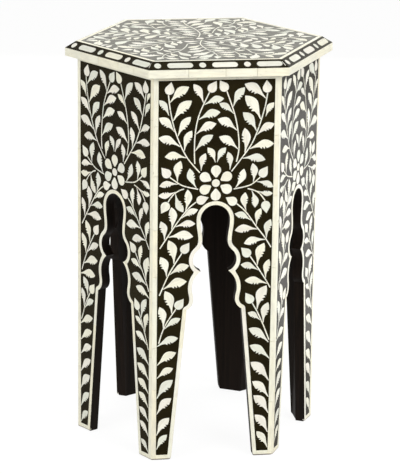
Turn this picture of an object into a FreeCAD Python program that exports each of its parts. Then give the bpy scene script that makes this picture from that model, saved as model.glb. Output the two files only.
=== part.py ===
import FreeCAD, Part

# Hexagonal side table: bone set flush in black resin over a painted board carcass.
# Six mitred sides are cut to a cusped keyhole arch, and a bevelled hexagonal top sits over
# them. Millimetres, +Z up. The origin is on the floor under the middle of the top, the front
# side faces -Y, and two corners of the hexagon lie on the X axis.

import math
import os

V = FreeCAD.Vector

# Whole table
TABLE_HEIGHT = 600.0
BODY_RADIUS = 181.5        # axis to a corner of the carcass, outside
BOARD = 12.0               # thickness of a side board
INLAY = 3.0                # thickness of the bone and resin that covers it
SIDES = ("front", "front_right", "rear_right", "rear", "rear_left", "front_left")

# Top
TOP_OVERHANG = 16.0        # from the sides to the rim, square to a side
RIM_HEIGHT = 12.0
BEVEL_HEIGHT = 9.5
BEVEL_RUN = 14.0
BORDER_WIDTH = 6.0
DOT_DIAMETER = 10.0
BAR_WIDTH = 10.0
BAR_LENGTH = 37.0
BARS_PER_SIDE = 3
RIM_PIECE_COUNT = 4        # lengths of bone in the rim of one side
BORDER_PIECE_COUNT = 3

# Arch, from the floor up: half widths and the rise of each stretch
LEG_FOOT_WIDTH = 29.25     # half-leg at the floor, corner to opening
SHOULDER_LEVEL = 231.0
SHOULDER_STEP = 9.6
WAIST_RISE = 15.0
WAIST_DEPTH = 2.2
LOWER_LOBE_RISE = 18.0
LOWER_LOBE_HALF = 33.0
LOWER_CUSP_RISE = 25.0
CUSP_DEPTH = 11.7
UPPER_LOBE_RISE = 17.0
UPPER_LOBE_HALF = 32.0
NECK_RISE = 29.0
NECK_DEPTH = 2.9
HEAD_RISE = 31.5
HEAD_RADIUS = 21.5
FOOT_ROUND = 3.0           # rounded inner corner of each half-leg at the floor

# Bone on the sides
EDGING_WIDTH = 5.8
CORNER_STRIP = 7.0
HEAD_STRIP = 7.0
FOOT_STRIP = 7.0
FOOT_GAP = 1.5             # bone and resin stop this far above the floor
CORNER_PIECE_COUNT = 6     # lengths of bone in one corner strip
HEAD_PIECE_COUNT = 3

# Flower over each arch
FLOWER_DISC = 12.0
PETAL_COUNT = 6
PETAL_START = 8.0          # pointed inner end of a petal, from the flower's centre
PETAL_LENGTH = 18.3
PETAL_WIDTH = 14.0
FLOWER_GAP = 0.5           # resin left between the lowest petal and the arch edging

# Vine on the sides and the top
STEM_WIDTH = 2.2
BUD_LENGTH = 19.3
BUD_WIDTH = 14.0
STEM_GAP = 0.8             # resin between a stem and the root of a leaf
BUD_GAP = 1.2              # resin between the end of a stem and its bud
PIECE_GAP = 0.4            # least resin between any two pieces, or a piece and a strip
TOP_DISC = 12.0
TOP_BUD_LENGTH = 18.0
TOP_BUD_WIDTH = 11.0

# Joinery inside
SPLINE_THICKNESS = 3.0
SPLINE_WIDTH = 12.0
SPLINE_SETBACK = 3.5       # inner corner of the boards to the spline
SPLINE_START = 40.0        # stopped above the floor
GROOVE_CLEARANCE = 0.2
BLOCK_REACH = 42.0
BLOCK_HEIGHT = 70.0
POST_REACH = 17.5          # along each board, so that a post stays behind the foot of its leg

# Worked out from the sizes above
HEX_COS = math.cos(math.radians(30))
HEX_TAN = math.tan(math.radians(30))
SIDE_TURN = 360.0 / len(SIDES)
BODY_APOTHEM = BODY_RADIUS * HEX_COS
BOARD_FACE = BODY_APOTHEM - INLAY
BOARD_BACK = BOARD_FACE - BOARD
PANEL_HALF = BODY_APOTHEM * HEX_TAN
PANEL_TOP = TABLE_HEIGHT - RIM_HEIGHT - BEVEL_HEIGHT
FIELD_HALF = PANEL_HALF - CORNER_STRIP
FIELD_TOP = PANEL_TOP - HEAD_STRIP
FIELD_FOOT = FOOT_GAP + FOOT_STRIP
RIM_APOTHEM = BODY_APOTHEM + TOP_OVERHANG
BEVEL_TOP = RIM_APOTHEM - BEVEL_RUN
FIELD_APOTHEM = BEVEL_TOP - BORDER_WIDTH
BEVEL_FOOT_LEVEL = PANEL_TOP + RIM_HEIGHT
BEVEL_SLOPE = math.hypot(BEVEL_RUN, BEVEL_HEIGHT)

WAIST_LEVEL = SHOULDER_LEVEL + WAIST_RISE
LOWER_LOBE_LEVEL = WAIST_LEVEL + LOWER_LOBE_RISE
CUSP_LEVEL = LOWER_LOBE_LEVEL + LOWER_CUSP_RISE
UPPER_LOBE_LEVEL = CUSP_LEVEL + UPPER_LOBE_RISE
NECK_LEVEL = UPPER_LOBE_LEVEL + NECK_RISE
HEAD_LEVEL = NECK_LEVEL + HEAD_RISE
ARCH_TOP = HEAD_LEVEL + HEAD_RADIUS
WAIST_HALF = LOWER_LOBE_HALF - WAIST_DEPTH
SHOULDER_HALF = WAIST_HALF + SHOULDER_STEP
CUSP_HALF = UPPER_LOBE_HALF - CUSP_DEPTH
NECK_HALF = HEAD_RADIUS - NECK_DEPTH
FOOT_HALF = PANEL_HALF - LEG_FOOT_WIDTH
FLOWER_LEVEL = ARCH_TOP + EDGING_WIDTH + FLOWER_GAP + PETAL_START + PETAL_LENGTH

# A side is drawn flat, with X across it, Y up from the floor and Z out of its face, and is
# then stood up on the front of the carcass.
ON_FRONT = FreeCAD.Placement(V(0, -BODY_APOTHEM, 0), FreeCAD.Rotation(V(1, 0, 0), 90))


def line(start, end):
    return Part.LineSegment(start, end).toShape()


def face_of(edges):
    return Part.Face(Part.Wire(Part.__sortEdges__(edges)))


def polygon_face(points):
    return Part.Face(Part.makePolygon(points + points[:1]))


def rectangle(left, bottom, right, top):
    return polygon_face([V(left, bottom), V(right, bottom), V(right, top), V(left, top)])


def inlay_solids(face):
    """Each connected piece of a face drawn on the side, given the thickness of the inlay."""
    return [piece.extrude(V(0, 0, -INLAY)) for piece in face.Faces]


def stood_up(shape):
    solid = shape.copy()
    solid.Placement = ON_FRONT.multiply(solid.Placement)
    return solid


def round_the_table(shape, side):
    solid = shape.copy()
    turn = FreeCAD.Placement(V(0, 0, 0), FreeCAD.Rotation(V(0, 0, 1), SIDE_TURN * side))
    solid.Placement = turn.multiply(solid.Placement)
    return solid


def write(node, solids):
    Part.makeCompound(solids).exportStep("parts/" + node + ".step")


def write_per_side(name, solids):
    """One node on each side, made of the same solids drawn on the front."""
    for side, side_name in enumerate(SIDES):
        write(name + "_" + side_name, [round_the_table(solid, side) for solid in solids])


def write_all_round(node, solids):
    """One node that holds the front's solids and their copies on the other sides."""
    copies = [round_the_table(solid, side) for side in range(len(SIDES)) for solid in solids]
    write(node, copies)


# The arch


def swell(upright, other):
    """Arc that leaves the first point straight up or down and ends at the second."""
    across = other.x - upright.x
    rise = other.y - upright.y
    centre = V(upright.x + (across ** 2 + rise ** 2) / (2 * across), upright.y)
    toward_middle = (upright + other) * 0.5 - centre
    middle = centre + toward_middle.normalize() * abs(centre.x - upright.x)
    return Part.Arc(upright, middle, other).toShape()


def ogee(lower, upper):
    """Two arcs, upright at both ends, that meet half way."""
    middle = (lower + upper) * 0.5
    return [swell(lower, middle), swell(upper, middle)]


def arch_opening():
    """The whole opening of one side, carried on below the floor so that it cuts right through."""
    shoulder = V(SHOULDER_HALF, SHOULDER_LEVEL)
    waist = V(WAIST_HALF, WAIST_LEVEL)
    lower_lobe = V(LOWER_LOBE_HALF, LOWER_LOBE_LEVEL)
    cusp = V(CUSP_HALF, CUSP_LEVEL)
    upper_lobe = V(UPPER_LOBE_HALF, UPPER_LOBE_LEVEL)
    neck = V(NECK_HALF, NECK_LEVEL)
    head = V(HEAD_RADIUS, HEAD_LEVEL)
    crown = V(0, ARCH_TOP)
    foot = V(FOOT_HALF, 0)
    below = foot + (foot - shoulder) * (LEG_FOOT_WIDTH / SHOULDER_LEVEL)
    right = [line(below, shoulder), swell(waist, shoulder)]
    right += ogee(waist, lower_lobe)
    right += [swell(lower_lobe, cusp), swell(upper_lobe, cusp)]
    right += ogee(neck, upper_lobe)
    right += ogee(neck, head)
    right.append(swell(head, crown))
    left = [edge.mirror(V(0, 0, 0), V(1, 0, 0)) for edge in right]
    sill = line(below, V(-below.x, below.y))
    return face_of(right + left + [sill])


opening = arch_opening()
edged_opening = opening.makeOffset2D(EDGING_WIDTH)


def side_board():
    """Board of the front side: mitred ends, the arch cut through it, grooves for two splines."""
    outer = BOARD_FACE * HEX_TAN
    inner = BOARD_BACK * HEX_TAN
    plan = polygon_face([V(-outer, -BOARD_FACE), V(outer, -BOARD_FACE),
                         V(inner, -BOARD_BACK), V(-inner, -BOARD_BACK)])
    board = plan.extrude(V(0, 0, PANEL_TOP))
    through = opening.extrude(V(0, 0, -2 * (INLAY + BOARD)))
    board = board.cut(stood_up(through))
    corners = [edge for edge in board.Edges
               if all(abs(abs(vertex.X) - FOOT_HALF) < 0.01 and abs(vertex.Z) < 0.01
                      for vertex in edge.Vertexes)]
    board = board.makeFillet(FOOT_ROUND, corners)
    groove = spline_bar(GROOVE_CLEARANCE)
    return board.cut([groove, round_the_table(groove, -1)])


def arch_edging():
    """Bone round the opening, in lengths that meet at the shoulders, cusps and crown."""
    band = edged_opening.cut(opening)
    levels = [FOOT_GAP, SHOULDER_LEVEL, CUSP_LEVEL, NECK_LEVEL, PANEL_TOP]
    lengths = []
    for hand in (-1, 1):
        edge = hand * PANEL_HALF
        for bottom, top in zip(levels, levels[1:]):
            stretch = rectangle(min(0, edge), bottom, max(0, edge), top)
            lengths += inlay_solids(band.common(stretch))
    return lengths


# Strips, ground and flower of one side


def corner_strips():
    """Bone down both edges of the side, mitred to meet the next side's strip."""
    behind = BOARD_FACE * HEX_TAN
    step = (PANEL_TOP - FOOT_GAP) / CORNER_PIECE_COUNT
    lengths = []
    for hand in (-1, 1):
        plan = polygon_face([V(hand * FIELD_HALF, -BODY_APOTHEM), V(hand * PANEL_HALF, -BODY_APOTHEM),
                             V(hand * behind, -BOARD_FACE), V(hand * FIELD_HALF, -BOARD_FACE)])
        for index in range(CORNER_PIECE_COUNT):
            foot = plan.translated(V(0, 0, FOOT_GAP + index * step))
            lengths.append(foot.extrude(V(0, 0, step)))
    return lengths


def head_strip():
    step = 2 * FIELD_HALF / HEAD_PIECE_COUNT
    lengths = []
    for index in range(HEAD_PIECE_COUNT):
        start = -FIELD_HALF + index * step
        lengths += inlay_solids(rectangle(start, FIELD_TOP, start + step, PANEL_TOP))
    return lengths


def foot_strips():
    band = rectangle(-FIELD_HALF, FOOT_GAP, FIELD_HALF, FIELD_FOOT)
    return inlay_solids(band.cut(edged_opening))


def teardrop(point, heading, length, width):
    """Outline with a sharp end at the point and a round end that far along the heading."""
    radius = width / 2
    reach = length - radius
    lean = math.acos(radius / reach)
    along = V(math.cos(heading), math.sin(heading))
    centre = point + along * reach

    def on_round(angle):
        return centre + V(math.cos(angle), math.sin(angle)) * radius

    first = on_round(heading + math.pi - lean)
    last = on_round(heading + math.pi + lean)
    bow = Part.Arc(first, on_round(heading), last).toShape()
    return face_of([line(point, first), bow, line(last, point)])


def disc(centre, diameter):
    return Part.Face(Part.Wire(Part.makeCircle(diameter / 2, centre)))


def flower(centre):
    pieces = [disc(centre, FLOWER_DISC)]
    for index in range(PETAL_COUNT):
        heading = math.pi / 2 + 2 * math.pi * index / PETAL_COUNT
        start = centre + V(math.cos(heading), math.sin(heading)) * PETAL_START
        pieces.append(teardrop(start, heading, PETAL_LENGTH, PETAL_WIDTH))
    return pieces


# The vine


# Paper template of one side: its half width, the crown of the arch edging and its head, and
# then the vines. A vine is its stem's points from the root up, the tip of its bud, and its
# leaves as (place along the stem, tip). A loose leaf is (root, tip, hand).
TEMPLATE_HALF = 83.75
TEMPLATE_CROWN = 393.8
TEMPLATE_TOP = 571.5
SIDE_VINES = [
    # Two stems on the left over the flower, then the two on the right
    ([(-23.2, 436), (-41, 457.5), (-52, 479), (-61, 503), (-67, 529), (-70, 550)], (-65.5, 570),
     [(0.23, (-73, 461)), (0.31, (-36, 497)), (0.37, (-82, 488)), (0.5, (-38.5, 517)),
      (0.55, (-81.5, 516.5)), (0.69, (-37, 541)), (0.905, (-42, 561))]),
    ([(-30.6, 449.5), (-31.8, 466), (-30.5, 494), (-25, 522), (-11.5, 553)], (-0.8, 570),
     [(0.17, (-6, 490)), (0.4, (-1.5, 507)), (0.6, (3, 524)), (0.81, (9, 544)),
      (0.83, (-33, 564))]),
    ([(29.2, 451), (33, 470), (31.5, 493), (26, 521), (14.5, 554)], (3, 570.5),
     [(0.17, (5, 488)), (0.43, (2.5, 514)), (0.66, (4.5, 536)), (0.76, (39, 558))]),
    ([(22.2, 437), (39, 459.5), (51.5, 478), (61.5, 502), (69.5, 531), (73, 550)], (71, 570),
     [(0.19, (70, 453.5)), (0.25, (40.5, 499.5)), (0.32, (82, 476.5)), (0.49, (82.5, 505.5)),
      (0.54, (39, 522.5)), (0.68, (41, 546)), (0.93, (41, 564))]),
    # Branches out of both sides of the flower
    ([(-25.7, 412), (-42, 416), (-52, 420), (-66, 430)], (-79, 446),
     [(0.05, (-38, 442)), (0.62, (-80, 418)), (0.7, (-51.5, 453))]),
    ([(-46, 413), (-52.5, 411), (-60, 406), (-65.5, 400), (-68, 396)], (-79, 377),
     [(0.3, (-81, 404.5)), (0.46, (-47, 380.5))]),
    ([(25.6, 411.3), (42.5, 414), (52.5, 418), (64, 426.5)], (75.5, 444),
     [(0.05, (40, 439.5)), (0.69, (53.5, 447)), (0.79, (82, 413))]),
    ([(46.5, 411.3), (57, 408), (64.5, 403), (72, 396.5)], (75, 373),
     [(0.18, (57.5, 384.5)), (0.33, (82, 403.5))]),
    # Three branches up each leg, from the corner strip towards the arch
    ([(-79, 327), (-66.5, 347), (-53, 366.5), (-40, 383.5), (-31, 392.5)], (-9.5, 400),
     [(0.15, (-79.5, 364.5)), (0.23, (-34, 342)), (0.36, (-64, 385)), (0.44, (-30.5, 361)),
      (0.6, (-27, 381.5)), (0.75, (-41, 410.5))]),
    ([(81.5, 324), (73, 337), (60.5, 354), (48, 371.5), (39.5, 381.5), (32, 388.5)], (14.5, 399),
     [(0.17, (44, 329)), (0.17, (81, 362.5)), (0.4, (30.5, 349)), (0.47, (66.5, 380)),
      (0.58, (30, 373.5)), (0.77, (43.5, 404))]),
    ([(-80, 256), (-75, 268), (-68.5, 283), (-61, 297), (-48.5, 317)], (-37, 333),
     [(0.14, (-42, 274)), (0.4, (-79, 311.5)), (0.47, (-39.5, 298)), (0.71, (-68, 336))]),
    ([(81.5, 263), (76.5, 272), (68.5, 285), (61, 296), (52, 309.5)], (38, 323.5),
     [(0.12, (46, 273)), (0.26, (80, 302.5)), (0.54, (39.5, 296.5)), (0.68, (71.5, 327.5))]),
    ([(-80.5, 183), (-77, 195), (-72, 208), (-66.5, 218), (-58.5, 230)], (-44.5, 249),
     [(0.38, (-50.5, 217.5)), (0.4, (-80, 236)), (0.83, (-72.5, 260))]),
    ([(81.5, 183), (75.5, 199), (70, 211.5), (63.5, 225.5), (56.5, 238)], (45.5, 254.5),
     [(0.42, (80, 236.5)), (0.5, (51, 223)), (0.79, (76.5, 263))]),
]
LOOSE_LEAVES = [
    # Four over the flower, and one beside each outer stem
    ((1, 451), (13.5, 471), 1), ((-1, 451), (-11.5, 472), -1),
    ((20, 439.5), (17.5, 464), -1), ((-21.5, 439.5), (-15.5, 463.5), 1),
    ((70.5, 516.5), (82.5, 536), -1), ((-68.8, 521), (-82, 542.5), -1),
    # One above another down each leg
    ((-82.5, 177), (-54, 188), 1), ((-82.5, 148.5), (-57, 166), 1),
    ((-82.5, 128), (-60.5, 141.5), 1), ((-82.5, 97.5), (-61, 123), 1),
    ((-82.5, 72.5), (-63, 95.5), 1), ((-82.5, 40), (-65.5, 64.5), 1),
    ((-82.5, 17.5), (-68, 38.5), 1),
    ((81, 178), (53, 199), -1), ((82.5, 152.5), (55.5, 172.5), -1),
    ((82.5, 118.5), (57, 146), -1), ((82.5, 93), (59.5, 116.5), -1),
    ((82.5, 68), (61.5, 94.5), -1), ((82.5, 38), (64.5, 63.5), -1),
    ((82.5, 13.5), (67, 37), -1),
]

# One sixth of the top, on a template of this size: a stem from the centre to the middle of a
# side, and one to a corner. Leaves are (place along the stem, angle off it to the left, length).
TEMPLATE_APOTHEM = 153.2
TOP_STEMS = [
    (0, [(12, 0), (42, 7), (76, -3), (108, -7), (130, 0)], (149, 3),
     [(0.16, 50, 19), (0.24, -50, 19), (0.34, 50, 22), (0.42, -50, 22), (0.52, 48, 24),
      (0.6, -48, 24), (0.7, 46, 26), (0.78, -46, 26), (0.86, 50, 22), (0.93, -56, 21)]),
    (30, [(66, 0), (94, 5), (124, -4), (149, 0)], (168, 0),
     [(0.06, 44, 20), (0.2, -44, 21), (0.36, 44, 23), (0.5, -44, 24), (0.66, 42, 25),
      (0.8, -42, 22), (0.9, 42, 16)]),
]

# Outline of a leaf in shares of its length: the smooth back, then the fuller edge from its tip
# to the waist, then the hollow that runs down to the root.
LEAF_BACK = [(0, 0), (0.3, 0.08), (0.52, 0.46), (1, 0)]
LEAF_BELLY = [(1, 0), (0.9, -0.13), (0.7, -0.2), (0.5, -0.1)]
LEAF_HOLLOW = [(0.5, -0.1), (0.34, -0.04), (0.16, -0.01), (0, 0)]


def on_side(point):
    """A point of the template, stretched to the field of this table's sides."""
    across, up = point
    crown = ARCH_TOP + EDGING_WIDTH
    if up <= TEMPLATE_CROWN:
        level = up * crown / TEMPLATE_CROWN
    else:
        share = (up - TEMPLATE_CROWN) / (TEMPLATE_TOP - TEMPLATE_CROWN)
        level = crown + share * (FIELD_TOP - crown)
    return V(across * FIELD_HALF / TEMPLATE_HALF, level)


def smooth_curve(points):
    curve = Part.BSplineCurve()
    curve.interpolate(points)
    return curve


def leaf(root, tip, hand):
    """One leaf. Its smooth back is to the left of the line from root to tip where hand is 1."""
    along = tip - root
    across = V(-along.y, along.x) * hand
    edges = []
    for shares in (LEAF_BACK, LEAF_BELLY, LEAF_HOLLOW):
        curve = Part.BezierCurve()
        curve.setPoles([root + along * x + across * y for x, y in shares])
        edges.append(curve.toShape())
    return face_of(edges)


def stem(curve, points):
    """Strip of even width along the curve through the points."""
    sides = []
    for hand in (1, -1):
        offsets = []
        for point in points:
            heading = curve.tangent(curve.parameter(point))[0]
            offsets.append(point + V(-heading.y, heading.x) * (hand * STEM_WIDTH / 2))
        sides.append(offsets)
    left, right = sides
    ends = [line(left[0], right[0]), line(left[-1], right[-1])]
    return face_of([smooth_curve(left).toShape(), smooth_curve(right).toShape()] + ends)


def place_on(curve, share):
    """Point and heading at a share of the way along a curve."""
    reach = curve.length() * share
    parameter = curve.parameterAtDistance(reach, curve.FirstParameter)
    return curve.value(parameter), curve.tangent(parameter)[0]


def with_bud(points, tip, length, width):
    """The points of a stem, ended a gap short of the bud with this tip, and the bud."""
    back = (points[-1] - tip).normalize()
    end = tip + back * (length + BUD_GAP)
    return points[:-1] + [end], teardrop(tip, math.atan2(back.y, back.x), length, width)


def stem_leaf(curve, share, tip):
    """Leaf from the stem to its tip, with its smooth back towards the end of the stem."""
    point, heading = place_on(curve, share)
    toward = (tip - point).normalize()
    left_of_stem = heading.x * toward.y - heading.y * toward.x > 0
    root = point + toward * ((STEM_WIDTH / 2 + STEM_GAP) / abs(heading.cross(toward).z))
    return leaf(root, tip, -1 if left_of_stem else 1)


def side_vine():
    pieces = []
    for template, bud_tip, leaves in SIDE_VINES:
        drawn = [on_side(point) for point in template]
        points, bud = with_bud(drawn, on_side(bud_tip), BUD_LENGTH, BUD_WIDTH)
        curve = smooth_curve(points)
        pieces += [stem(curve, points), bud]
        pieces += [stem_leaf(curve, share, on_side(tip)) for share, tip in leaves]
    pieces += [leaf(on_side(root), on_side(tip), hand) for root, tip, hand in LOOSE_LEAVES]
    return pieces


def top_vine_sixth():
    """Pieces of one sixth of the top, drawn flat about its centre with the side along +X."""
    scale = FIELD_APOTHEM / TEMPLATE_APOTHEM
    pieces = []
    for turn, template, bud_tip, leaves in TOP_STEMS:
        points = [V(x, y) * scale for x, y in template]
        points, bud = with_bud(points, V(*bud_tip) * scale, TOP_BUD_LENGTH, TOP_BUD_WIDTH)
        curve = smooth_curve(points)
        drawn = [stem(curve, points), bud]
        for share, angle, length in leaves:
            point, heading = place_on(curve, share)
            lean = FreeCAD.Rotation(V(0, 0, 1), angle).multVec(heading)
            drawn.append(stem_leaf(curve, share, point + lean * (length * scale)))
        for piece in drawn:
            piece.rotate(V(0, 0, 0), V(0, 0, 1), turn)
        pieces += drawn
    return pieces


def turned_flat(pieces, side):
    """Copies of flat pieces of the top, turned to another of its sides."""
    copies = []
    for piece in pieces:
        copy = piece.copy()
        copy.rotate(V(0, 0, 0), V(0, 0, 1), SIDE_TURN * side - 90)
        copies.append(copy)
    return copies


def settled(pieces, field, taken):
    """The pieces that lie inside the field, clear of its edge, of those taken and of each other."""
    kept = []
    for piece in pieces:
        box = piece.BoundBox
        box.enlarge(PIECE_GAP)
        inside = field.isInside(piece.CenterOfMass, PIECE_GAP, True)
        near = [other for other in taken + kept if box.intersect(other.BoundBox)]
        near.append(field.OuterWire)
        if inside and all(piece.distToShape(other)[0] >= PIECE_GAP for other in near):
            kept.append(piece)
    return kept


def with_pockets(field, pieces):
    """The field with a hole for each piece set in it."""
    return Part.makeFace([field.OuterWire] + [piece.OuterWire for piece in pieces],
                         "Part::FaceMakerBullseye")


# The top


def hexagon(apothem, level):
    radius = apothem / HEX_COS
    angles = [math.radians(SIDE_TURN * index) for index in range(len(SIDES))]
    points = [V(radius * math.cos(a), radius * math.sin(a), level) for a in angles]
    return Part.makePolygon(points + points[:1])


def section_along(section, start, end):
    """Strip along the front of the top. The section is (distance from the axis, level) points,
    and each end is a place along the side, or None where the strip is mitred at the corner."""
    wires = []
    for hand, place in ((-1, start), (1, end)):
        points = []
        for distance, level in section:
            across = hand * distance * HEX_TAN if place is None else place
            points.append(V(across, -distance, level))
        wires.append(Part.makePolygon(points + points[:1]))
    return Part.makeLoft(wires, True, True)


def in_lengths(section, count):
    """The strip above, cut square into equal lengths between its two mitres."""
    half = max(distance for distance, level in section) * HEX_TAN
    joints = [-half + 2 * half * index / count for index in range(1, count)]
    ends = [None] + joints + [None]
    return [section_along(section, start, end) for start, end in zip(ends, ends[1:])]


# The board under the inlay lies a full inlay inside the rim, the bevel and the top face.
CORE_RIM = RIM_APOTHEM - INLAY
CORE_TOP_LEVEL = TABLE_HEIGHT - INLAY
PER_RUN = BEVEL_HEIGHT / BEVEL_RUN
CORE_DROP = INLAY * BEVEL_SLOPE / BEVEL_RUN
CORE_BEVEL_FOOT = BEVEL_FOOT_LEVEL - CORE_DROP + INLAY * PER_RUN
CORE_BEVEL_TOP = CORE_RIM - (CORE_TOP_LEVEL - CORE_BEVEL_FOOT) / PER_RUN

RIM_OUTER = (RIM_APOTHEM, BEVEL_FOOT_LEVEL)
RIM_INNER = (CORE_RIM, CORE_BEVEL_FOOT)
EDGE_OUTER = (BEVEL_TOP, TABLE_HEIGHT)
EDGE_INNER = (CORE_BEVEL_TOP, CORE_TOP_LEVEL)


def top_board():
    levels = [hexagon(CORE_RIM, PANEL_TOP), hexagon(CORE_RIM, CORE_BEVEL_FOOT),
              hexagon(CORE_BEVEL_TOP, CORE_TOP_LEVEL)]
    return Part.makeLoft(levels, True, True)


def rim_strips():
    section = [(CORE_RIM, PANEL_TOP), (RIM_APOTHEM, PANEL_TOP), RIM_OUTER, RIM_INNER]
    return in_lengths(section, RIM_PIECE_COUNT)


def border_strips():
    section = [EDGE_OUTER, EDGE_INNER, (FIELD_APOTHEM, CORE_TOP_LEVEL), (FIELD_APOTHEM, TABLE_HEIGHT)]
    return in_lengths(section, BORDER_PIECE_COUNT)


def bar_face(centre, length, width):
    """Flat bar with round ends, lying along X."""
    radius = width / 2
    half = length / 2 - radius
    top_left = centre + V(-half, radius)
    top_right = centre + V(half, radius)
    low_left = centre + V(-half, -radius)
    low_right = centre + V(half, -radius)
    right_end = Part.Arc(top_right, centre + V(length / 2, 0), low_right).toShape()
    left_end = Part.Arc(low_left, centre - V(length / 2, 0), top_left).toShape()
    return face_of([line(top_left, top_right), right_end, line(low_right, low_left), left_end])


def bevel_pieces():
    """Bars and dots of one side, laid alternately along the middle of the bevel."""
    middle = (RIM_APOTHEM + BEVEL_TOP) / 2
    pitch = 2 * middle * HEX_TAN / BARS_PER_SIDE
    gap = (pitch - DOT_DIAMETER - BAR_LENGTH) / 2
    tilt = math.degrees(math.atan2(BEVEL_HEIGHT, BEVEL_RUN))
    on_bevel = FreeCAD.Placement(V(0, -middle, TABLE_HEIGHT - BEVEL_HEIGHT / 2),
                                 FreeCAD.Rotation(V(1, 0, 0), tilt))
    dots = []
    bars = []
    for index in range(BARS_PER_SIDE):
        dot_place = -middle * HEX_TAN + index * pitch + (gap + DOT_DIAMETER) / 2
        bar_place = dot_place + DOT_DIAMETER / 2 + gap + BAR_LENGTH / 2
        dots += inlay_solids(disc(V(dot_place, 0), DOT_DIAMETER))
        bars += inlay_solids(bar_face(V(bar_place, 0), BAR_LENGTH, BAR_WIDTH))
    for piece in dots + bars:
        piece.Placement = on_bevel
    return dots, bars


# Joinery inside


def corner_frame():
    """Out along the corner to the right of the front side, and square to it, towards that side."""
    angle = math.radians(-90 + SIDE_TURN / 2)
    out = V(math.cos(angle), math.sin(angle), 0)
    return out, V(out.y, -out.x, 0)


def spline_bar(clearance):
    out, along = corner_frame()
    near = out * (BOARD_BACK / HEX_COS + SPLINE_SETBACK)
    far = near + out * SPLINE_THICKNESS
    reach = along * (SPLINE_WIDTH / 2 + clearance)
    plan = polygon_face([near - reach, far - reach, far + reach, near + reach])
    return plan.translated(V(0, 0, SPLINE_START)).extrude(V(0, 0, PANEL_TOP - SPLINE_START))


def corner_fillet(reach, foot, head):
    """Three-cornered length of wood glued into the inner corner, between two levels."""
    out, along = corner_frame()
    corner = out * (BOARD_BACK / HEX_COS)
    next_side = V(-corner.y, corner.x, 0).normalize() * HEX_COS - out * 0.5
    plan = polygon_face([corner, corner + V(-reach, 0, 0), corner + next_side * reach])
    return plan.translated(V(0, 0, foot)).extrude(V(0, 0, head - foot))


def corner_blocks():
    """Block under the top, and the post that stiffens the leg below it."""
    joint = PANEL_TOP - BLOCK_HEIGHT
    return [corner_fillet(BLOCK_REACH, joint, PANEL_TOP), corner_fillet(POST_REACH, 0, joint)]


# Write every node


os.makedirs("parts", exist_ok=True)

write_per_side("side_board", [side_board()])
write_all_round("mitre_splines", [spline_bar(0)])
write_all_round("corner_blocks", corner_blocks())

write_per_side("arch_edging", [stood_up(solid) for solid in arch_edging()])
write_per_side("corner_strips", corner_strips())
write_all_round("head_strips", [stood_up(solid) for solid in head_strip()])
write_all_round("foot_strips", [stood_up(solid) for solid in foot_strips()])

field = rectangle(-FIELD_HALF, FIELD_FOOT, FIELD_HALF, FIELD_TOP).cut(edged_opening).Faces[0]
flower_faces = flower(V(0, FLOWER_LEVEL))
vine_faces = settled(side_vine(), field, flower_faces)
ground = with_pockets(field, flower_faces + vine_faces)
for node, faces in (("flower", flower_faces), ("vine", vine_faces), ("panel_ground", [ground])):
    solids = [solid for face in faces for solid in inlay_solids(face)]
    write_per_side(node, [stood_up(solid) for solid in solids])

write("top_board", [top_board()])
write_all_round("rim_strips", rim_strips())
write_all_round("top_border", border_strips())

top_field = Part.Face(hexagon(FIELD_APOTHEM, 0))
top_sixths = [piece for side in range(len(SIDES)) for piece in turned_flat(top_vine_sixth(), side)]
top_pieces = settled([disc(V(0, 0), TOP_DISC)] + top_sixths, top_field, [])
on_top = FreeCAD.Placement(V(0, 0, TABLE_HEIGHT), FreeCAD.Rotation())
for node, faces in (("top_vine", top_pieces), ("top_ground", [with_pockets(top_field, top_pieces)])):
    solids = [solid for face in faces for solid in inlay_solids(face)]
    for solid in solids:
        solid.Placement = on_top.multiply(solid.Placement)
    write(node, solids)

bevel_dots, bevel_bars = bevel_pieces()
bevel_ground = section_along([RIM_OUTER, EDGE_OUTER, EDGE_INNER, RIM_INNER], None, None)
bevel_ground = bevel_ground.cut(bevel_dots + bevel_bars)
write_all_round("bevel_ground", [bevel_ground])
write_all_round("bevel_dots", bevel_dots)
write_all_round("bevel_bars", bevel_bars)
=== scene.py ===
import math
import random

import bmesh
import bpy
from mathutils import Matrix, Vector
from mathutils.geometry import interpolate_bezier, intersect_point_line


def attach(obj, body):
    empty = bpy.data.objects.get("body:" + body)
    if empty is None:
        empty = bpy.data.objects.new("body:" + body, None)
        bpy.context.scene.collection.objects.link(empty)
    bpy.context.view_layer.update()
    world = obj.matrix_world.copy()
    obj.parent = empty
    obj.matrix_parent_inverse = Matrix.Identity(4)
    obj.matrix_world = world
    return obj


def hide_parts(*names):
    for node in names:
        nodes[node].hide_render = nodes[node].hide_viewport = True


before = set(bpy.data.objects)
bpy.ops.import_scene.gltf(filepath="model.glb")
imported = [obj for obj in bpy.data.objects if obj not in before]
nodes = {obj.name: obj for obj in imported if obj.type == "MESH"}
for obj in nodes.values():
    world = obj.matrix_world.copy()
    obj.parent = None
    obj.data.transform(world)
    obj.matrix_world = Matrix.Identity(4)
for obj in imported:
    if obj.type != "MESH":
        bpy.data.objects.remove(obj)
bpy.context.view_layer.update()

scene = bpy.context.scene
SIDES = ("front", "front_right", "rear_right", "rear", "rear_left", "front_left")
MM = 0.001


# Carcass: six boards of plywood, mitred and splined at the corners, with the arch sawn through
# each of them, and a post glued behind each leg. Inside, and in the thickness of the arch, they
# are brushed with a thin black paint that shows the grain a little.

def linear(hex_colour):
    """An sRGB hex colour as the linear RGBA that sockets take."""
    channels = [int(hex_colour[i:i + 2], 16) / 255 for i in (1, 3, 5)]
    return [c / 12.92 if c <= 0.04045 else ((c + 0.055) / 1.055) ** 2.4 for c in channels] + [1]


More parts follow.
